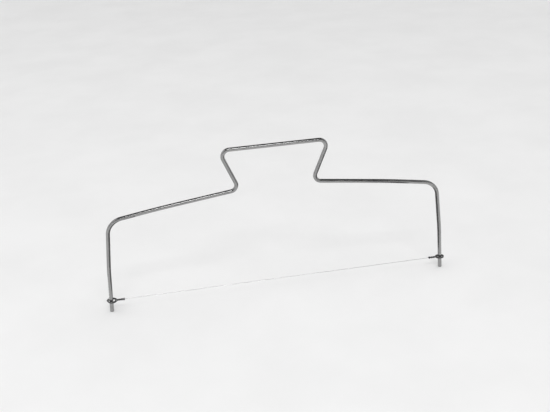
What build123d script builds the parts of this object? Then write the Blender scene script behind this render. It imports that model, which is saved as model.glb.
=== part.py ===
from build123d import *
from math import cos, dist, pi, radians, sin, tan
import os

# Cake leveler: one bent steel rod that holds a thin cutting wire between its two legs.
# Each end of the wire is twisted into an eye that hangs round a leg and can be moved up its notches.
# Millimetres and degrees. X runs along the wire, Z is up, and the feet stand on Z = 0.

# Rod
rod_diameter = 3.7
foot_edge_round = 0.35

# Legs, from the shoulder down: a splayed length, a slow knee, and a straighter notched length
shoulder_span = 311.0
shoulder_height = 93.1
leg_splay = 5.8
knee_height = 43.1
notched_leg_splay = 3.2
knee_radius = 250.0
shoulder_radius = 16.0

# Arms, from the shoulder up to the handle, bowed a little by the pull of the wire
arm_outer_rise = 9.1
arm_inner_rise = 7.3
arm_bow_span = 220.0
arm_bow_radius = 1100.0
bend_clearance = 1.0

# Handle, wider at the grip than at its base
handle_base_width = 68.6
handle_grip_width = 101.6
handle_rise = 39.8
handle_base_radius = 6.0
handle_grip_radius = 6.5

# Notches in the outer side of each leg
notch_count = 10
notch_pitch = 2.8
notch_radius = 0.8
notch_depth = 0.6
lowest_notch_height = 11.4

# Cutting wire, held in the lowest notches
wire_diameter = 0.35
wire_entry = 0.6

# Eyes, each one length of stouter wire: a loop round the leg and two tails twisted together
eye_wire_diameter = 0.9
eye_outer_gap = 1.5
eye_side_gap = 0.95
eye_straight_side = 1.45
eye_shoulder_turn = 38.0
eye_throat = 4.9
twist_gap = 0.45
twist_pitch = 7.2
twist_quarter_turns = 3
tail_lead = 1.2
winding_samples = 300

# Overrun of cutting tools past what they cut
overrun = 1.0

# Places worked out from the sizes above
rod_radius = rod_diameter / 2
shoulder_x = shoulder_span / 2
knee_x = shoulder_x + (shoulder_height - knee_height) * tan(radians(leg_splay))
foot_x = knee_x + knee_height * tan(radians(notched_leg_splay))
bow_x = arm_bow_span / 2
bow_height = shoulder_height + (shoulder_x - bow_x) * tan(radians(arm_outer_rise))
base_x = handle_base_width / 2
base_height = bow_height + (bow_x - base_x) * tan(radians(arm_inner_rise))
grip_x = handle_grip_width / 2
grip_height = base_height + handle_rise
shoulder_turn = 90 - leg_splay - arm_outer_rise
shoulder_bend_length = shoulder_radius * tan(radians(shoulder_turn / 2))
outer_arm_length = (shoulder_x - bow_x) / cos(radians(arm_outer_rise))
arm_bow_room = outer_arm_length - shoulder_bend_length - bend_clearance
arm_bow_turn = arm_outer_rise - arm_inner_rise
arm_bow_limit = arm_bow_room / tan(radians(arm_bow_turn / 2))
notch_step = notch_pitch / cos(radians(notched_leg_splay))
notch_reach = rod_radius + notch_radius - notch_depth

wire_height = lowest_notch_height
leg_x = foot_x - wire_height * tan(radians(notched_leg_splay))

eye_wire_radius = eye_wire_diameter / 2
loop_radius = rod_radius + eye_side_gap + eye_wire_radius
loop_reach = rod_radius + eye_outer_gap + eye_wire_radius
loop_centre = loop_radius - loop_reach
flank_along = loop_centre + eye_straight_side
shoulder_along = flank_along + loop_radius * sin(radians(eye_shoulder_turn))
shoulder_across = loop_radius * cos(radians(eye_shoulder_turn))
twist_radius = (eye_wire_diameter + twist_gap) / 2
quarter_advance = twist_pitch / 4
twist_end = eye_throat + twist_quarter_turns * quarter_advance
tail_start = twist_end + tail_lead
tail_end = tail_start + eye_wire_diameter


# Two tangent arcs that join one place and direction to another
def biarc(start, direction, end, end_direction):
    span = end - start
    turn = direction + end_direction
    spread = 2 * (1 - direction.dot(end_direction))
    along = span.dot(turn)
    reach = ((along**2 + spread * span.dot(span)) ** 0.5 - along) / spread
    first_corner = start + direction * reach
    second_corner = end - end_direction * reach
    joint = (first_corner + second_corner) / 2
    TangentArc(start, joint, tangent=direction)
    TangentArc(joint, end, tangent=second_corner - first_corner)


# Least gap between the surfaces of one winding's turns, measured on points of its centre line
def least_self_gap(winding, wire_size):
    step = winding.length / winding_samples
    points = [tuple(winding @ (i / winding_samples)) for i in range(winding_samples + 1)]
    apart = int(pi * wire_size / step)
    nearest = min(
        dist(points[i], points[j])
        for i in range(len(points))
        for j in range(i + apart, len(points))
    )
    return nearest - wire_size


os.makedirs("parts", exist_ok=True)

# Frame: one rod bent from foot to foot, trimmed level at both feet
right_outline = [
    (foot_x + overrun * tan(radians(notched_leg_splay)), -overrun),
    (knee_x, knee_height),
    (shoulder_x, shoulder_height),
    (bow_x, bow_height),
    (base_x, base_height),
    (grip_x, grip_height),
]
left_outline = [(-x, z) for x, z in right_outline]
right_bends = [
    knee_radius,
    shoulder_radius,
    min(arm_bow_radius, arm_bow_limit),
    handle_base_radius,
    handle_grip_radius,
]

with BuildPart() as frame:
    with BuildLine(Plane.XZ) as rod_line:
        FilletPolyline(*left_outline, *right_outline[::-1], radius=right_bends + right_bends[::-1])
    rod_path = rod_line.wire()
    with BuildSketch(Plane(origin=rod_path @ 0, z_dir=rod_path % 0)):
        Circle(rod_radius)
    sweep(path=rod_path)
    split(bisect_by=Plane.XY, keep=Keep.TOP)
    for side in (-1, 1):
        notch_plane = Plane(
            origin=(side * leg_x, 0, lowest_notch_height),
            x_dir=(side * cos(radians(notched_leg_splay)), 0, sin(radians(notched_leg_splay))),
            z_dir=(0, -side, 0),
        )
        with BuildSketch(notch_plane):
            with Locations([(notch_reach, i * notch_step) for i in range(notch_count)]):
                Circle(notch_radius)
        extrude(amount=rod_diameter, both=True, mode=Mode.SUBTRACT)
    fillet(frame.edges().group_by(Axis.Z)[0], radius=foot_edge_round)
frame.part.label = "frame"
export_step(frame.part, "parts/frame.step")

# Eyes: the same winding at each leg, the right one turned half round
for side, name in ((-1, "left_eye"), (1, "right_eye")):
    seat = Plane(origin=(side * leg_x, 0, wire_height), x_dir=(-side, 0, 0), z_dir=(0, 0, 1))
    with BuildPart() as eye:
        with BuildLine() as winding_line:
            for half in (-1, 1):
                flank = seat.y_dir * half
                tip = seat.origin - seat.x_dir * loop_reach
                quarter = seat.origin + seat.x_dir * loop_centre + flank * loop_radius
                flank_end = seat.origin + seat.x_dir * flank_along + flank * loop_radius
                place = seat.origin + seat.x_dir * shoulder_along + flank * shoulder_across
                turn = radians(eye_shoulder_turn)
                heading = seat.x_dir * cos(turn) - flank * sin(turn)
                TangentArc(tip, quarter, tangent=flank)
                Line(quarter, flank_end)
                TangentArc(flank_end, place, tangent=seat.x_dir)
                for i in range(twist_quarter_turns + 1):
                    angle = i * pi / 2
                    radial = seat.y_dir * cos(angle) - seat.z_dir * sin(angle)
                    around = -seat.y_dir * sin(angle) - seat.z_dir * cos(angle)
                    forward = seat.x_dir * quarter_advance + around * (half * twist_radius * pi / 2)
                    next_place = (
                        seat.origin
                        + seat.x_dir * (eye_throat + i * quarter_advance)
                        + radial * (half * twist_radius)
                    )
                    next_heading = forward.normalized()
                    biarc(place, heading, next_place, next_heading)
                    place = next_place
                    heading = next_heading
                lead_angle = twist_quarter_turns * pi / 2 + pi * tail_lead / twist_pitch
                lead_radial = seat.y_dir * cos(lead_angle) - seat.z_dir * sin(lead_angle)
                lead_place = seat.origin + seat.x_dir * tail_start + lead_radial * (half * twist_radius)
                biarc(place, heading, lead_place, seat.x_dir)
                Line(lead_place, lead_place + seat.x_dir * eye_wire_diameter)
        winding = winding_line.wire()
        with BuildSketch(Plane(origin=winding @ 0, z_dir=winding % 0)):
            Circle(eye_wire_radius)
        sweep(path=winding)
    print(name, "least gap of the winding to itself", round(least_self_gap(winding, eye_wire_diameter), 3))
    eye.part.label = name
    export_step(eye.part, f"parts/{name}.step")

# Cutting wire: from the mouth of the left twist through the right twist to the throat of its loop
wire_start = -leg_x + tail_end - wire_entry
wire_end = leg_x - eye_throat
with BuildPart() as cutting_wire:
    with BuildSketch(Plane.YZ.offset(wire_start)):
        with Locations((0, wire_height)):
            Circle(wire_diameter / 2)
    extrude(amount=wire_end - wire_start)
cutting_wire.part.label = "cutting_wire"
export_step(cutting_wire.part, "parts/cutting_wire.step")
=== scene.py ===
# %% [markdown]
# # A cake leveler in Blender
# The real tool is one steel rod bent into a bow with a raised handle, and a thin wire pulled tight
# between its legs. A twisted eye at each end of the wire hangs in a notch of a leg.
# The CAD model holds every piece in its real size and place, so it is loaded first and measured.
# The lesson then dresses it: it bends a rod and presses its notches, winds the two eyes, and gives
# each kind of steel its own surface. Blender counts in metres, so a size in millimetres is written
# as a number times MM.

from math import cos, pi, radians, sin, sqrt, tan

import bmesh
import bpy
from mathutils import Matrix, Quaternion, Vector
from mathutils.geometry import interpolate_bezier


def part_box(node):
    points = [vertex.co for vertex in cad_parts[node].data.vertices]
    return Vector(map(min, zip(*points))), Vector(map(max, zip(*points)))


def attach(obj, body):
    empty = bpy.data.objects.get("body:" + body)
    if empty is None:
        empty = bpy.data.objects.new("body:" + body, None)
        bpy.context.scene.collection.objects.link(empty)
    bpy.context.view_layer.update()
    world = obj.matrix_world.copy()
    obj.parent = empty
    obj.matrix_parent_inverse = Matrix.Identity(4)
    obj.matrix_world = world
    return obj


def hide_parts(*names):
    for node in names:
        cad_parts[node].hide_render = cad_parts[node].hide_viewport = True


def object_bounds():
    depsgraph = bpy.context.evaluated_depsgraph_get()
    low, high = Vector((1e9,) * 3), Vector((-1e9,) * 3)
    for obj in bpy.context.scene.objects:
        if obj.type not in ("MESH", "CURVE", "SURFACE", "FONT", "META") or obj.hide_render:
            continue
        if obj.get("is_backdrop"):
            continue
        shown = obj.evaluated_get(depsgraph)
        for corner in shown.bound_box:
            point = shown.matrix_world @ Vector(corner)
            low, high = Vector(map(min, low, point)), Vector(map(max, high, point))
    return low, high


MM = 0.001

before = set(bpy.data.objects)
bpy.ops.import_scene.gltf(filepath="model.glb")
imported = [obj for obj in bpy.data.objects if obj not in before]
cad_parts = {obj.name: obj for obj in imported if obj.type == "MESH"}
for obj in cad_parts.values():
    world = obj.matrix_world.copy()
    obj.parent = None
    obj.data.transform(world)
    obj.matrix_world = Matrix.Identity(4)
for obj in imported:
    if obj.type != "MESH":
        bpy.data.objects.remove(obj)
cad_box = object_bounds()
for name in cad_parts:
    low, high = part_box(name)
    print(name, "is", [round(side / MM, 2) for side in high - low], "mm")

# %% [markdown]
# ## Corners of the rod
# The frame is one length of stainless rod. A bender's drawing gives a few heights, widths and
# slopes, and every corner follows from them. The corners themselves could be typed in too, but a
# changed slope would then leave the rest behind. So each corner is worked out from the one before
# it. Only the right half is drawn, because the rod is the same on both sides of its middle.

# %% Places of the corners
SHOULDER_X = 155.5 * MM
SHOULDER_HEIGHT = 93.1 * MM
KNEE_HEIGHT = 43.1 * MM
UPPER_LEG_SPLAY = radians(5.8)
LEG_SPLAY = radians(3.2)
ARM_BOW_X = 110 * MM
OUTER_ARM_RISE = radians(9.1)
INNER_ARM_RISE = radians(7.3)
HANDLE_BASE_X = 34.3 * MM
HANDLE_GRIP_X = 50.8 * MM
HANDLE_RISE = 39.8 * MM
knee_x = SHOULDER_X + (SHOULDER_HEIGHT - KNEE_HEIGHT) * tan(UPPER_LEG_SPLAY)
foot_x = knee_x + KNEE_HEIGHT * tan(LEG_SPLAY)
bow_height = SHOULDER_HEIGHT + (SHOULDER_X - ARM_BOW_X) * tan(OUTER_ARM_RISE)
base_height = bow_height + (ARM_BOW_X - HANDLE_BASE_X) * tan(INNER_ARM_RISE)
grip_height = base_height + HANDLE_RISE
foot = Vector((foot_x, 0, 0))
knee = Vector((knee_x, 0, KNEE_HEIGHT))
shoulder = Vector((SHOULDER_X, 0, SHOULDER_HEIGHT))
arm_bow = Vector((ARM_BOW_X, 0, bow_height))
handle_base = Vector((HANDLE_BASE_X, 0, base_height))
handle_grip = Vector((HANDLE_GRIP_X, 0, grip_height))
handle_middle = Vector((0, 0, grip_height))
print("the feet stand", round(2 * foot_x / MM, 1), "mm apart")

# %% [markdown]
# ## Bending
# The real rod is bent cold round formers. A curve with a round bevel would give the same outline,
# but a bent rod is really two moves again and again: go straight, then turn about a former. In
# bmesh these are an extrude and a spin of one ring of edges, so the rod is made as the bender makes
# it. A sharp bend takes many small steps, so that no flat facet shows in the steel's reflections.

# %% Bends of the rod
SLOW_BEND_STEPS = 6
SHARP_BEND_STEPS = 28
KNEE_RADIUS = 250 * MM
SHOULDER_RADIUS = 16 * MM
ARM_BOW_RADIUS = 1100 * MM
HANDLE_BASE_RADIUS = 6 * MM
HANDLE_GRIP_RADIUS = 6.5 * MM
BENDS = [
    (knee, KNEE_RADIUS, SLOW_BEND_STEPS),
    (shoulder, SHOULDER_RADIUS, SHARP_BEND_STEPS),
    (arm_bow, ARM_BOW_RADIUS, SLOW_BEND_STEPS),
    (handle_base, HANDLE_BASE_RADIUS, SHARP_BEND_STEPS),
    (handle_grip, HANDLE_GRIP_RADIUS, SHARP_BEND_STEPS),
]
print("the rod has", 2 * len(BENDS), "bends")


# %% Helpers that go straight and that turn
def go_straight(bm, ring, move):
    made = bmesh.ops.extrude_edge_only(bm, edges=ring)["geom"]
    new_ring = [part for part in made if isinstance(part, bmesh.types.BMEdge) and part.is_boundary]
    verts = list({vertex for edge in new_ring for vertex in edge.verts})
    bmesh.ops.translate(bm, verts=verts, vec=move)
    return new_ring


def turn_round(bm, ring, former, axis, angle):
    verts = list({vertex for edge in ring for vertex in edge.verts})
    made = bmesh.ops.spin(
        bm, geom=verts + ring, cent=former, axis=axis, angle=angle, steps=1, use_duplicate=False
    )
    return [part for part in made["geom_last"] if isinstance(part, bmesh.types.BMEdge)]


# %% [markdown]
# Drawing a rod through a die leaves fine lines along it, and they follow every bend. A pattern on
# Object coordinates would cut straight through the bends instead. So each ring of the rod keeps
# the place that it had on the straight rod, in a float vector layer that the material reads later:
# how far along, how far out, and how far across.


# %% Helper that notes a ring's place
def note_ring(ring, straight_place, travelled, centre, direction):
    across = Vector((0, 1, 0))
    outward = across.cross(direction)
    for vertex in {vertex for edge in ring for vertex in edge.verts}:
        offset = vertex.co - centre
        vertex[straight_place] = (travelled, offset.dot(outward), offset.dot(across))


# %% [markdown]
# The sweep starts with one round ring just below the floor, square to the leg, and goes from corner
# to corner. A bend takes up its radius times the tangent of half its turn on each side of its
# corner, so every straight stops that far before the corner. The ring's centre is moved and swung
# in the same steps as the ring, because the next straight starts from it.

# %% Sweep one half of the rod
ROD_RADIUS = 1.85 * MM
ROD_SIDES = 64
FOOT_OVERRUN = 1.5 * MM
bm = bmesh.new()
straight_place = bm.verts.layers.float_vector.new("straight_place")
direction = (knee - foot).normalized()
travelled = -FOOT_OVERRUN
place = foot + direction * travelled
square_to_rod = direction.to_track_quat("Z", "Y").to_matrix().to_4x4()
bmesh.ops.create_circle(
    bm,
    segments=ROD_SIDES,
    radius=ROD_RADIUS,
    matrix=Matrix.Translation(place) @ square_to_rod,
)
ring = bm.edges[:]
note_ring(ring, straight_place, travelled, place, direction)
next_corners = [corner for corner, radius, steps in BENDS[1:]] + [handle_middle]
for (corner, radius, steps), next_corner in zip(BENDS, next_corners):
    next_direction = (next_corner - corner).normalized()
    turn = direction.angle(next_direction)
    axis = direction.cross(next_direction).normalized()
    bend_start = corner - direction * radius * tan(turn / 2)
    travelled += (bend_start - place).length
    ring = go_straight(bm, ring, bend_start - place)
    place = bend_start
    note_ring(ring, straight_place, travelled, place, direction)
    former = bend_start + axis.cross(direction) * radius
    swing = Quaternion(axis, turn / steps)
    for step in range(steps):
        ring = turn_round(bm, ring, former, axis, turn / steps)
        place = former + swing @ (place - former)
        direction = swing @ direction
        travelled += radius * turn / steps
        note_ring(ring, straight_place, travelled, place, direction)
travelled += (handle_middle - place).length
ring = go_straight(bm, ring, handle_middle - place)
note_ring(ring, straight_place, travelled, handle_middle, direction)
half_length = travelled
print("half the rod is", round(half_length / MM, 1), "mm long and has", len(bm.faces), "faces")

# %% [markdown]
# ## The foot
# The rod is sawn level so that it stands flat, and the saw's edge is broken by a quick touch on a
# belt. The first ring could have been level, but the legs are splayed, and a level ring would have
# to be an oval. A bisect is the saw itself: it cuts off all that lies below the floor. The open end
# is then filled and a bevel rounds its rim. A bevel's profile of 0.5 is a true round.

# %% Cut and round the foot
FOOT_EDGE_ROUND = 0.35 * MM
FOOT_EDGE_STEPS = 5
TOUCHING = 0.001 * MM


def round_edges(bm, edges, width, steps):
    bmesh.ops.bevel(
        bm,
        geom=edges,
        offset=width,
        offset_type="OFFSET",
        affect="EDGES",
        segments=steps,
        profile=0.5,
        material=-1,
    )


bmesh.ops.bisect_plane(
    bm,
    geom=bm.verts[:] + bm.edges[:] + bm.faces[:],
    plane_co=(0, 0, 0),
    plane_no=(0, 0, -1),
    clear_outer=True,
)
open_edges = [edge for edge in bm.edges if edge.is_boundary]
rim = [edge for edge in open_edges if max(vertex.co.z for vertex in edge.verts) < TOUCHING]
bmesh.ops.edgeloop_fill(bm, edges=rim)
round_edges(bm, rim, FOOT_EDGE_ROUND, FOOT_EDGE_STEPS)
print("the foot's rim had", len(rim), "edges before its bevel")

# %% [markdown]
# ## The notches
# Ten notches are pressed into the outer side of each leg, and an eye sits in one of them. A Boolean
# with ten cylinders would cut them with knife-sharp lips, but a real press leaves soft ones. So one
# subdivide cuts the leg's straight length into close rings, and each vertex that stands outside a
# notch's round is drawn in to it. A smooth minimum of the rod's surface and the notch's round makes
# the soft lip. A second layer keeps how deep each vertex went, for the material.

# %% Press the notches
NOTCH_COUNT = 10
NOTCH_PITCH = 2.8 * MM
NOTCH_RADIUS = 0.8 * MM
NOTCH_DEPTH = 0.6 * MM
NOTCH_RINGS = 400
LIP_ROUND = 0.12 * MM
WIRE_HEIGHT = 11.4 * MM
first_notch = WIRE_HEIGHT / cos(LEG_SPLAY)
notch_step = NOTCH_PITCH / cos(LEG_SPLAY)
notch_centre = ROD_RADIUS + NOTCH_RADIUS - NOTCH_DEPTH
outward = Vector((cos(LEG_SPLAY), 0, sin(LEG_SPLAY)))
long_edges = [
    edge
    for edge in bm.edges
    if min(vertex.co.z for vertex in edge.verts) < first_notch
    and max(vertex.co.z for vertex in edge.verts) > first_notch
]
bmesh.ops.subdivide_edges(bm, edges=long_edges, cuts=NOTCH_RINGS, use_grid_fill=True)
notch_depth = bm.verts.layers.float.new("notch_depth")
pressed_count = 0
for vertex in bm.verts:
    from_first = vertex[straight_place].x - first_notch
    nearest = round(from_first / notch_step)
    from_middle = abs(from_first - nearest * notch_step)
    if not 0 <= nearest < NOTCH_COUNT or from_middle >= NOTCH_RADIUS:
        continue
    surface = (vertex.co - foot).dot(outward)
    notch_floor = notch_centre - sqrt(NOTCH_RADIUS**2 - from_middle**2)
    nearness = max(LIP_ROUND - abs(surface - notch_floor), 0) / LIP_ROUND
    pressed_to = min(surface, notch_floor) - nearness**2 * LIP_ROUND / 4
    vertex[notch_depth] = (surface - pressed_to) / MM
    vertex.co += outward * (pressed_to - surface)
    pressed_count += surface > pressed_to
print(pressed_count, "vertices of one leg are pressed in")

# %% [markdown]
# ## The other half
# The bender turns the rod end for end and bends the second half like the first. Here a mirror does
# it, and joins the two halves where they meet at the middle of the handle. The mirror copies the
# layers too, so the second half's places are counted on from the middle, or the steel's lines
# would run back the way they came. A mirror can leave faces looking inwards, so all are turned out.

# %% Mirror the other half
bmesh.ops.mirror(bm, geom=bm.verts[:] + bm.edges[:] + bm.faces[:], axis="X", merge_dist=TOUCHING)
for vertex in bm.verts:
    if vertex.co.x < 0:
        along, out, across = vertex[straight_place]
        vertex[straight_place] = (2 * half_length - along, out, across)
bmesh.ops.recalc_face_normals(bm, faces=bm.faces[:])
print("open edges left in the rod:", sum(not edge.is_manifold for edge in bm.edges))

# %% [markdown]
# A bmesh is only a draft until it is written to a mesh and an object. Each piece then rides on the
# body that carries it, so that it moves with the joints, takes the material slot of its kind, and
# stands in for its plain CAD node. These steps are the same for every piece, so they are helpers.


# %% Make the rod an object
def make_object(bm, name):
    mesh = bpy.data.meshes.new(name)
    bm.to_mesh(mesh)
    bm.free()
    mesh.shade_smooth()
    made = bpy.data.objects.new(name, mesh)
    bpy.context.scene.collection.objects.link(made)
    print(name, "has", sum(len(face.vertices) - 2 for face in mesh.polygons), "triangles")
    return made


def finish_piece(bm, name, body, node):
    piece = make_object(bm, name)
    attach(piece, body)
    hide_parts(node)
    return piece


bent_rod = finish_piece(bm, "bent_rod", "bow", "frame")

# %% [markdown]
# ## The eyes
# Each eye is one short length of 1 mm wire. Its middle goes twice round the leg as a loose oval, and
# its two tails cross and are twisted together. The turns lie close, so from the side the eye looks
# like a small dark knot. At the left leg one turn lies a little inside the other. The CAD solids
# keep one turn and hold the tails a little apart; the drawn wire fills the same space.
# A wire has no corners, so a curve with a round bevel suits it better than spins of a ring: the
# curve's points follow the wire, and Blender sweeps the section along them. The second half of the
# wire is the first one turned half round about the twist, but for that inner turn, so one function
# gives the line of a half. Its x starts at the leg's middle and runs towards the cutting wire: the
# loop reaches from its tip behind the leg to the crossing of the tails, and the twist from the
# throat to the ends of the tails.

# %% Sizes of the eyes
EYE_WIRE_RADIUS = 0.5 * MM
LOOP_TIP = -3.75 * MM
LEFT_INNER_TIP = -2.95 * MM
LOOP_CROSSING = 4.25 * MM
LOOP_HALF_WIDTH = 3.19 * MM
LOOP_RISE = 1.02 * MM
LOOP_TURN = radians(317)
LOOP_STEPS = 90
THROAT = 5.7 * MM
THROAT_STEPS = 24
TWIST_RADIUS = 0.54 * MM
TWIST_PITCH = 4.4 * MM
TWIST_STEPS = 90
MOUTH_RADIUS = 0.72 * MM
MOUTH_LENGTH = 1.5 * MM
MOUTH_FLARE = 0.8 * MM
LEFT_TAIL_END = 12.4 * MM
RIGHT_TAIL_END = 11.4 * MM
print("the twist is", round(2 * (TWIST_RADIUS + EYE_WIRE_RADIUS) / MM, 2), "mm thick")

# %% [markdown]
# The loop is a rising oval, so one formula with a sine and a cosine gives its points. The twist is
# a helix that opens a little at its mouth, where the tails were nipped off. Between them, at the
# throat, the wire runs free. A Bezier curve that starts and ends in the wire's own directions joins
# the two without a kink, as stiff wire does.


# %% Line of one half of an eye
def loop_line(half, tip):
    centre = (tip + LOOP_CROSSING) / 2
    half_span = (LOOP_CROSSING - tip) / 2
    rise = LOOP_RISE / (2 * pi)
    line = []
    for i in range(LOOP_STEPS + 1):
        turn = LOOP_TURN * i / LOOP_STEPS
        x = centre + half_span * cos(turn)
        line.append(Vector((x, half * LOOP_HALF_WIDTH * sin(turn), -half * rise * turn)))
    heading = Vector(
        (-half_span * sin(LOOP_TURN), half * LOOP_HALF_WIDTH * cos(LOOP_TURN), -half * rise)
    )
    return line, heading.normalized()


def twist_line(half, tail_end):
    line = []
    for i in range(TWIST_STEPS + 1):
        along = (tail_end - THROAT) * i / TWIST_STEPS
        turn = 2 * pi * along / TWIST_PITCH
        to_end = tail_end - THROAT - along
        opening = min(max((MOUTH_LENGTH - to_end) / MOUTH_FLARE, 0), 1)
        eased = opening**2 * (3 - 2 * opening)
        radius = TWIST_RADIUS + (MOUTH_RADIUS - TWIST_RADIUS) * eased
        line.append(Vector((THROAT + along, half * radius * sin(turn), -half * radius * cos(turn))))
    heading = Vector((1, half * 2 * pi * TWIST_RADIUS / TWIST_PITCH, 0))
    return line, heading.normalized()


def half_eye_line(half, tip, tail_end):
    loop, loop_heading = loop_line(half, tip)
    twist, twist_heading = twist_line(half, tail_end)
    reach = (twist[0] - loop[-1]).length / 3
    throat = interpolate_bezier(
        loop[-1],
        loop[-1] + loop_heading * reach,
        twist[0] - twist_heading * reach,
        twist[0],
        THROAT_STEPS,
    )
    return loop + throat[1:-1] + twist


drawn_points = len(half_eye_line(1, LOOP_TIP, LEFT_TAIL_END))
print("half an eye is drawn with", drawn_points, "points")

# %% [markdown]
# The two halves meet at the middle of the wire, so the first is reversed and they make one unbroken
# line. A poly spline goes through its points exactly, which keeps the turns from cutting into each
# other. The swept curve is made a mesh, because only a mesh can be checked for open edges. The
# right eye faces the other way, so its line is turned half round.


# %% Wind both eyes
WIRE_SECTION_STEPS = 6
DOUBLED = 0.0001 * MM
leg_x = foot_x - WIRE_HEIGHT * tan(LEG_SPLAY)


def sweep_wire(name, line):
    wire = bpy.data.curves.new(name + "_line", "CURVE")
    wire.dimensions = "3D"
    wire.bevel_depth = EYE_WIRE_RADIUS
    wire.bevel_resolution = WIRE_SECTION_STEPS
    wire.use_fill_caps = True
    spline = wire.splines.new("POLY")
    spline.points.add(len(line) - 1)
    for point, place in zip(spline.points, line):
        point.co = (*place, 1)
    holder = bpy.data.objects.new(name + "_line", wire)
    bpy.context.scene.collection.objects.link(holder)
    bpy.context.view_layer.update()
    swept = holder.evaluated_get(bpy.context.evaluated_depsgraph_get())
    mesh = bpy.data.meshes.new_from_object(swept)
    bpy.data.objects.remove(holder)
    return mesh


def wind_eye(name, side, inner_tip, tail_end, body, node):
    first_half = half_eye_line(-1, LOOP_TIP, tail_end)
    second_half = half_eye_line(1, inner_tip, tail_end)
    middle = Vector((side * leg_x, 0, WIRE_HEIGHT))
    facing_in = Matrix.Diagonal((-side, -side, 1))
    line = [middle + facing_in @ place for place in first_half[::-1] + second_half[1:]]
    bm = bmesh.new()
    bm.from_mesh(sweep_wire(name, line))
    bmesh.ops.remove_doubles(bm, verts=bm.verts[:], dist=DOUBLED)
    bmesh.ops.recalc_face_normals(bm, faces=bm.faces[:])
    print(name, "open edges:", sum(not edge.is_manifold for edge in bm.edges))
    return finish_piece(bm, name, body, node)


left_loop = wind_eye("left_loop", -1, LEFT_INNER_TIP, LEFT_TAIL_END, "left_end", "left_eye")
right_loop = wind_eye("right_loop", 1, LOOP_TIP, RIGHT_TAIL_END, "wire_span", "right_eye")

# %% [markdown]
# ## Steel
# All three metals are stainless steel, so each starts as a fully metallic Principled shader. What
# tells them apart is how they were made and used, and that is drawn with noise: noise stretched
# along a wire becomes drawing lines, and even noise becomes clouds and mottling. The eye wire's
# tones also hold painted shade, and the notches' faces a painted highlight. Image textures could
# show the same, but noise has no seams and stays sharp from close by. Most of a noise's values lie
# in the middle of its range, so its span is remapped from there.


# %% Helpers for materials, noise and values
NOISE_ROUGHNESS = 0.55
NOISE_SPAN = (0.3, 0.7)


def new_material(name):
    material = bpy.data.materials.new(name)
    material.use_nodes = True
    tree = material.node_tree
    return material, tree, tree.nodes["Principled BSDF"]


def new_steel(name):
    material, tree, shader = new_material(name)
    shader.inputs["Metallic"].default_value = 1
    return material, tree, shader


def add_noise(tree, vector, scale, detail):
    noise = tree.nodes.new("ShaderNodeTexNoise")
    noise.inputs["Scale"].default_value = scale
    noise.inputs["Detail"].default_value = detail
    noise.inputs["Roughness"].default_value = NOISE_ROUGHNESS
    tree.links.new(vector, noise.inputs["Vector"])
    return noise.outputs["Fac"]


def stretched_noise(tree, place, stretch, detail):
    mapping = tree.nodes.new("ShaderNodeMapping")
    mapping.inputs["Scale"].default_value = stretch
    tree.links.new(place, mapping.inputs["Vector"])
    return add_noise(tree, mapping.outputs["Vector"], 1, detail)


def remap(tree, value, span, new_span):
    node = tree.nodes.new("ShaderNodeMapRange")
    node.clamp = True
    node.inputs["From Min"].default_value, node.inputs["From Max"].default_value = span
    node.inputs["To Min"].default_value, node.inputs["To Max"].default_value = new_span
    tree.links.new(value, node.inputs["Value"])
    return node.outputs["Result"]


def tone(tree, value, stops):
    ramp = tree.nodes.new("ShaderNodeValToRGB")
    elements = ramp.color_ramp.elements
    while len(elements) < len(stops):
        elements.new(1)
    for element, (place, colour) in zip(elements, stops):
        element.position = place
        element.color = (*colour, 1)
    tree.links.new(value, ramp.inputs["Fac"])
    return ramp.outputs["Color"]


def bump(tree, height, strength, distance):
    node = tree.nodes.new("ShaderNodeBump")
    node.inputs["Strength"].default_value = strength
    node.inputs["Distance"].default_value = distance
    tree.links.new(height, node.inputs["Height"])
    return node.outputs["Normal"]


# %% [markdown]
# ## The rod's steel
# The rod was drawn through a die and lightly polished: fine lines along it, soft clouds of lighter
# and darker grey, and small rubbed marks that change how sharply it mirrors. The notches were
# pressed afterwards, and their faces are painted bright and matt: partly the fresh pressed metal,
# partly a painted highlight that stands in for the glints on the notch walls. So they spread light
# more than they mirror it. The pattern reads the rod's place before bending, and the notches read
# their own depth layer, which is in millimetres.


# %% Helpers that read a layer, mix two values and mix two colours
def read_attribute(tree, name):
    node = tree.nodes.new("ShaderNodeAttribute")
    node.attribute_name = name
    return node


def calculate(tree, operation, first, second):
    node = tree.nodes.new("ShaderNodeMath")
    node.operation = operation
    for socket, value in zip(node.inputs, (first, second)):
        if isinstance(value, (int, float)):
            socket.default_value = value
        else:
            tree.links.new(value, socket)
    return node.outputs["Value"]


def blend(tree, first, second, share):
    part = calculate(tree, "MULTIPLY", first, 1 - share)
    return calculate(tree, "ADD", part, calculate(tree, "MULTIPLY", second, share))


def mix_colours(tree, share, first, second):
    node = tree.nodes.new("ShaderNodeMix")
    node.data_type = "RGBA"
    colour_in = {socket.identifier: socket for socket in node.inputs}
    colour_in["B_Color"].default_value = (*second, 1)
    tree.links.new(share, colour_in["Factor_Float"])
    tree.links.new(first, colour_in["A_Color"])
    return next(socket for socket in node.outputs if socket.identifier == "Result_Color")


# %% Drawn rod steel
LINE_STRETCH = (25, 2600, 2600)
LINE_DETAIL = 6
LINE_BUMP = 0.25
LINE_RELIEF = 0.02 * MM
CLOUD_STRETCH = (60, 260, 260)
CLOUD_DETAIL = 3
CLOUD_SHARE = 0.5
RUBBED_STRETCH = (900, 900, 900)
RUBBED_DETAIL = 4
RUBBED_SHARE = 0.4
ROD_TONES = [
    (0.3, (0.26, 0.26, 0.265)),
    (0.5, (0.34, 0.34, 0.34)),
    (0.72, (0.43, 0.43, 0.425)),
]
ROD_ROUGHNESS = (0.18, 0.31)
LIP_DEPTHS = (0.02, 0.12)
MATT_DEPTHS = (0, 0.3)
# Near-white notch faces: partly fresh pressed metal, partly a painted highlight for the glints on
# the notch walls.
NOTCH_TONE_WITH_PAINTED_HIGHLIGHT = (0.86, 0.86, 0.85)
NOTCH_METALLIC = 0.25
NOTCH_ROUGHER = 0.25


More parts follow.
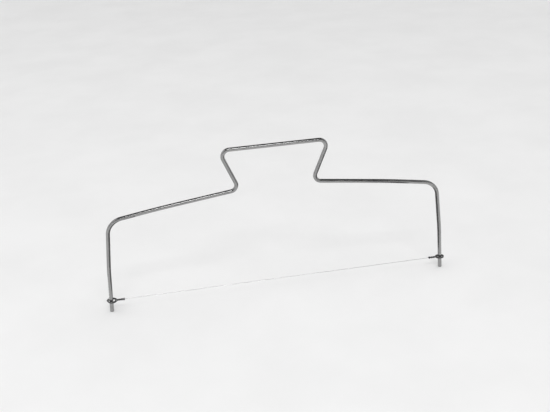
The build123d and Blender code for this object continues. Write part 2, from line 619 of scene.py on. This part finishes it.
def drawn_rod_steel():
    material, tree, shader = new_steel("drawn_rod_steel")
    place = read_attribute(tree, "straight_place").outputs["Vector"]
    depth = read_attribute(tree, "notch_depth").outputs["Fac"]
    lines = stretched_noise(tree, place, LINE_STRETCH, LINE_DETAIL)
    clouds = stretched_noise(tree, place, CLOUD_STRETCH, CLOUD_DETAIL)
    rubbed = stretched_noise(tree, place, RUBBED_STRETCH, RUBBED_DETAIL)
    drawn = tone(tree, blend(tree, lines, clouds, CLOUD_SHARE), ROD_TONES)
    satin = remap(tree, blend(tree, clouds, rubbed, RUBBED_SHARE), NOISE_SPAN, ROD_ROUGHNESS)
    # This mask blends the painted highlight into the notch faces: the deeper the press, the whiter
    # and less metallic.
    pressed_and_highlight_mask = remap(tree, depth, LIP_DEPTHS, (0, 1))
    matt = remap(tree, depth, MATT_DEPTHS, (0, NOTCH_ROUGHER))
    tree.links.new(mix_colours(tree, pressed_and_highlight_mask, drawn, NOTCH_TONE_WITH_PAINTED_HIGHLIGHT), shader.inputs["Base Color"])
    tree.links.new(remap(tree, pressed_and_highlight_mask, (0, 1), (1, NOTCH_METALLIC)), shader.inputs["Metallic"])
    tree.links.new(calculate(tree, "ADD", satin, matt), shader.inputs["Roughness"])
    tree.links.new(bump(tree, lines, LINE_BUMP, LINE_RELIEF), shader.inputs["Normal"])
    return material


rod_steel = drawn_rod_steel()
bent_rod.data.materials.append(rod_steel)
print(rod_steel.name, "has", len(rod_steel.node_tree.nodes), "nodes")

# %% [markdown]
# ## The eyes' steel
# The eye wire is softer and duller than the rod. It was bent with pliers and has been pushed over
# the notches ever since, so it is darker and lighter in blotches, and where it rubs it is a little
# lighter and shinier. As a whole its tones are painted much darker than the rod's: painted shade
# that stands in for the shade between its close turns. The blotches lie evenly on the wire's skin,
# not along it, so even noise on Object coordinates does for them, and a much finer noise gives the
# skin its grain.

# %% Eye wire with painted shade
MOTTLE_SCALE = 900
MOTTLE_DETAIL = 4
GRAIN_SCALE = 6000
GRAIN_DETAIL = 3
GRAIN_BUMP = 0.2
GRAIN_RELIEF = 0.01 * MM
# These tones are painted shade: far darker than the rod's, standing in for the shade between the
# eye's close turns.
EYE_TONES_WITH_PAINTED_SHADE = [
    (0.3, (0.10, 0.10, 0.105)),
    (0.55, (0.17, 0.17, 0.17)),
    (0.75, (0.28, 0.28, 0.275)),
]
EYE_ROUGHNESS = (0.42, 0.28)


def eye_steel_with_painted_shade():
    material, tree, shader = new_steel("eye_steel_with_painted_shade")
    place = tree.nodes.new("ShaderNodeTexCoord").outputs["Object"]
    mottle = add_noise(tree, place, MOTTLE_SCALE, MOTTLE_DETAIL)
    grain = add_noise(tree, place, GRAIN_SCALE, GRAIN_DETAIL)
    tree.links.new(tone(tree, mottle, EYE_TONES_WITH_PAINTED_SHADE), shader.inputs["Base Color"])
    tree.links.new(remap(tree, mottle, NOISE_SPAN, EYE_ROUGHNESS), shader.inputs["Roughness"])
    tree.links.new(bump(tree, grain, GRAIN_BUMP, GRAIN_RELIEF), shader.inputs["Normal"])
    return material


eye_steel = eye_steel_with_painted_shade()
left_loop.data.materials.append(eye_steel)
right_loop.data.materials.append(eye_steel)
print(eye_steel.name, "has", len(eye_steel.node_tree.nodes), "nodes")

# %% [markdown]
# ## The cutting wire's steel
# The cutting wire is hard-drawn and thin, and it stays bright because it is wiped after every use.
# Its mesh is the CAD model's own, because a straight thin wire needs nothing more than its section.
# It is straight along X, so Object coordinates stretched along X give its drawing lines.

# %% Bright cutting wire
WIRE_LINE_STRETCH = (40, 9000, 9000)
WIRE_LINE_DETAIL = 4
WIRE_LINE_BUMP = 0.15
WIRE_LINE_RELIEF = 0.005 * MM
WIRE_TONES = [(0.3, (0.66, 0.66, 0.67)), (0.7, (0.84, 0.84, 0.84))]
WIRE_ROUGHNESS = (0.16, 0.26)


def bright_wire_steel():
    material, tree, shader = new_steel("bright_wire_steel")
    place = tree.nodes.new("ShaderNodeTexCoord").outputs["Object"]
    lines = stretched_noise(tree, place, WIRE_LINE_STRETCH, WIRE_LINE_DETAIL)
    tree.links.new(tone(tree, lines, WIRE_TONES), shader.inputs["Base Color"])
    tree.links.new(remap(tree, lines, NOISE_SPAN, WIRE_ROUGHNESS), shader.inputs["Roughness"])
    tree.links.new(bump(tree, lines, WIRE_LINE_BUMP, WIRE_LINE_RELIEF), shader.inputs["Normal"])
    return material


wire_steel = bright_wire_steel()
cutting_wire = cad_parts["cutting_wire"]
cutting_wire.material_slots[0].material = wire_steel
print(wire_steel.name, "has", len(wire_steel.node_tree.nodes), "nodes")

# %% [markdown]
# ## The floor
# The tool stands on a plain pale floor. A plane would do from above, but from a low camera its far
# edge draws a line behind the tool. A studio bends its paper up into a cove instead. A filled
# circle, an extrude of its rim and a bevel of the corner make one, and it looks the same all round.
# The studio is metres wide, so its sizes are written in metres.

# %% Bend the floor up into a cove
COVE_RADIUS = 2.8
COVE_HEIGHT = 0.9
COVE_SIDES = 128
COVE_CORNER = 0.35
COVE_CORNER_STEPS = 12
bm = bmesh.new()
bmesh.ops.create_circle(bm, cap_ends=True, segments=COVE_SIDES, radius=COVE_RADIUS)
wall_foot = bm.edges[:]
made = bmesh.ops.extrude_edge_only(bm, edges=wall_foot)["geom"]
wall_top = [part for part in made if isinstance(part, bmesh.types.BMVert)]
bmesh.ops.translate(bm, verts=wall_top, vec=(0, 0, COVE_HEIGHT))
round_edges(bm, wall_foot, COVE_CORNER, COVE_CORNER_STEPS)
floor = make_object(bm, "studio_floor")
floor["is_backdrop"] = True

# %% [markdown]
# The floor's paint is a matt near-white. One flat grey would do, but a real surface is never quite
# even, so a large soft noise moves it between two greys that lie close together.

# %% Paint the floor
FLOOR_GRAIN_SCALE = 9
FLOOR_GRAIN_DETAIL = 3
FLOOR_TONES = [(0.35, (0.84, 0.84, 0.84)), (0.65, (0.87, 0.87, 0.87))]
FLOOR_ROUGHNESS = 0.9


def pale_floor_paint():
    material, tree, shader = new_material("pale_floor")
    place = tree.nodes.new("ShaderNodeTexCoord").outputs["Object"]
    grain = add_noise(tree, place, FLOOR_GRAIN_SCALE, FLOOR_GRAIN_DETAIL)
    tree.links.new(tone(tree, grain, FLOOR_TONES), shader.inputs["Base Color"])
    shader.inputs["Roughness"].default_value = FLOOR_ROUGHNESS
    return material


floor_paint = pale_floor_paint()
floor.data.materials.append(floor_paint)
print(floor_paint.name, "has", len(floor_paint.node_tree.nodes), "nodes")

# %% [markdown]
# ## Lights
# Polished steel has no look of its own: it shows what stands round it. A round rod mirrors a narrow
# light as one thin bright line, and a wide, weak light as a soft grey. So a narrow light in front
# draws the bright line along the left arm and the handle, and two wide lights at the sides keep the
# bends grey. The right one is weaker, and leaves the right shoulder darker, as in the photo.

# %% Three soft lights
SIDE_LIGHT_X = 2.3
SIDE_LIGHT_HEIGHT = 1.9
SIDE_LIGHT_SIZE = (4, 2)
LEFT_POWER = 22
RIGHT_POWER = 10
FRONT_LIGHT_PLACE = (-0.05, -1.5, 2.1)
FRONT_LIGHT_SIZE = (1.2, 0.42)
FRONT_POWER = 17


def add_soft_light(name, place, size, power):
    lamp = bpy.data.lights.new(name, "AREA")
    lamp.shape = "RECTANGLE"
    lamp.size, lamp.size_y = size
    lamp.energy = power
    light = bpy.data.objects.new(name, lamp)
    light.location = place
    light.rotation_mode = "QUATERNION"
    light.rotation_quaternion = (-Vector(place)).to_track_quat("-Z", "Y")
    bpy.context.scene.collection.objects.link(light)
    print(name, "has", power, "W over", size, "m")


add_soft_light("light_left", (-SIDE_LIGHT_X, 0, SIDE_LIGHT_HEIGHT), SIDE_LIGHT_SIZE, LEFT_POWER)
add_soft_light("light_right", (SIDE_LIGHT_X, 0, SIDE_LIGHT_HEIGHT), SIDE_LIGHT_SIZE, RIGHT_POWER)
add_soft_light("light_front", FRONT_LIGHT_PLACE, FRONT_LIGHT_SIZE, FRONT_POWER)

# %% [markdown]
# ## Dark cards
# The legs and the handle's posts stand so that they mirror mostly the pale floor, and would be one
# flat grey. A studio gives such metal a dark side with cards held just out of the picture. Here
# the cards may stand in the picture, because Blender can hide an object from the camera and from
# the floor's light and still let the steel mirror it. The paint is dark on a card's front only and
# clear from behind, so that a card for one piece stays out of the reflections of the next.

# %% Dark paint that is clear from behind
CARD_GREY = (0.2, 0.2, 0.2, 1)


def mix_shaders(tree, share, first, second, output):
    node = tree.nodes.new("ShaderNodeMixShader")
    tree.links.new(share, node.inputs["Fac"])
    tree.links.new(first, node.inputs[1])
    tree.links.new(second, node.inputs[2])
    tree.links.new(node.outputs["Shader"], tree.nodes[output].inputs["Surface"])


def dark_card_paint():
    material, tree, shader = new_material("dark_card")
    shader.inputs["Base Color"].default_value = CARD_GREY
    from_behind = tree.nodes.new("ShaderNodeNewGeometry").outputs["Backfacing"]
    clear = tree.nodes.new("ShaderNodeBsdfTransparent").outputs["BSDF"]
    mix_shaders(tree, from_behind, shader.outputs["BSDF"], clear, "Material Output")
    return material


card_paint = dark_card_paint()
print(card_paint.name, "has", len(card_paint.node_tree.nodes), "nodes")

# %% [markdown]
# The legs' cards stand just inside the bow and face outwards. A third card faces the handle's right
# post, and a large one lies on the floor far to the right, where the right side of the tool mirrors
# it.

# %% Cards for the steel to mirror
FACING_LEFT = -pi / 2
FACING_RIGHT = pi / 2
FACING_UP = 0
CARD_HEIGHT = 0.045
LEG_CARD_X = 0.13
LEG_CARD_SIZE = (0.09, 0.2)
POST_CARD_PLACE = (0.129, -0.06, CARD_HEIGHT)
POST_CARD_SIZE = (0.09, 0.34)
FAR_CARD_PLACE = (1.5, 0, 0.005)
FAR_CARD_SIZE = (2, 3)


def add_dark_card(name, place, size, turn):
    bpy.ops.mesh.primitive_plane_add(size=1, location=place, rotation=(0, turn, 0))
    card = bpy.context.object
    card.name = name
    card.scale = (*size, 1)
    card.visible_camera = False
    card.visible_diffuse = False
    card.visible_shadow = False
    card.data.materials.append(card_paint)
    card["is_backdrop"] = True
    print(name, "is", size, "m")


add_dark_card("card_left_leg", (-LEG_CARD_X, 0, CARD_HEIGHT), LEG_CARD_SIZE, FACING_LEFT)
add_dark_card("card_right_leg", (LEG_CARD_X, 0, CARD_HEIGHT), LEG_CARD_SIZE, FACING_RIGHT)
add_dark_card("card_right_post", POST_CARD_PLACE, POST_CARD_SIZE, FACING_LEFT)
add_dark_card("card_far_right", FAR_CARD_PLACE, FAR_CARD_SIZE, FACING_UP)

# %% [markdown]
# ## The room
# The floor should be near white, while the top of the right arm mirrors a dark room. One world
# colour can't do both. A Light Path node knows what kind of ray asks, so the room is pale for the
# camera and for the floor's soft light, and dim for the rays that the steel mirrors. The Standard
# view transform shows the colours as they are, where the default one would grey the pale floor.

# %% Room and view
PALE_ROOM = (0.66, 0.66, 0.66, 1)
DIM_ROOM = (0.62, 0.62, 0.63, 1)
DIM_STRENGTH = 0.06
world = bpy.data.worlds.new("studio_air")
bpy.context.scene.world = world
world.use_nodes = True
tree = world.node_tree
dim_room = tree.nodes["Background"]
dim_room.inputs["Color"].default_value = DIM_ROOM
dim_room.inputs["Strength"].default_value = DIM_STRENGTH
pale_room = tree.nodes.new("ShaderNodeBackground")
pale_room.inputs["Color"].default_value = PALE_ROOM
mirrored = tree.nodes.new("ShaderNodeLightPath").outputs["Is Glossy Ray"]
pale = pale_room.outputs["Background"]
dim = dim_room.outputs["Background"]
mix_shaders(tree, mirrored, pale, dim, "World Output")
bpy.context.scene.view_settings.view_transform = "Standard"
print(world.name, "has", len(tree.nodes), "nodes")

# %% [markdown]
# ## The camera
# The camera stands where the photo was taken: in front, a little to the left and well above the
# tool, rolled by a few degrees. It could be placed by eye, but the rod's corners were found in the
# photo, and the angles, the distance and the lens were fitted to them. So the picture lines up with
# the photo.

# %% Camera
SENSOR_WIDTH = 36
FOCAL_LENGTH = 54.98
CAMERA_DISTANCE = 781.5 * MM
LOOKED_AT = Vector((-1.98, 0, 88.97)) * MM
AZIMUTH = radians(-9.75)
ELEVATION = radians(25.49)
ROLL = radians(-2.72)
camera_data = bpy.data.cameras.new("camera")
camera_data.sensor_width = SENSOR_WIDTH
camera_data.lens = FOCAL_LENGTH
camera = bpy.data.objects.new("camera", camera_data)
bpy.context.scene.collection.objects.link(camera)
back = Vector((sin(AZIMUTH) * cos(ELEVATION), -cos(AZIMUTH) * cos(ELEVATION), sin(ELEVATION)))
camera.location = LOOKED_AT + back * CAMERA_DISTANCE
camera.rotation_mode = "QUATERNION"
camera.rotation_quaternion = (-back).to_track_quat("-Z", "Y") @ Quaternion((0, 0, 1), ROLL)
bpy.context.scene.camera = camera
print("the camera is", round(camera.location.length, 3), "m from the middle of the feet")

# %% [markdown]
# ## Last measure
# The dressed pieces have to fill the same space as the CAD solids, or the joints and the sizes of
# the two would part. So the box round all pieces is measured once more and kept beside the first.

# %% Measure and finish
dressed_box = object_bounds()
growth = [
    round((dressed - plain) / MM, 3)
    for dressed_corner, plain_corner in zip(dressed_box, cad_box)
    for dressed, plain in zip(dressed_corner, plain_corner)
]
print("the dressed box differs from the CAD box by", growth, "mm")
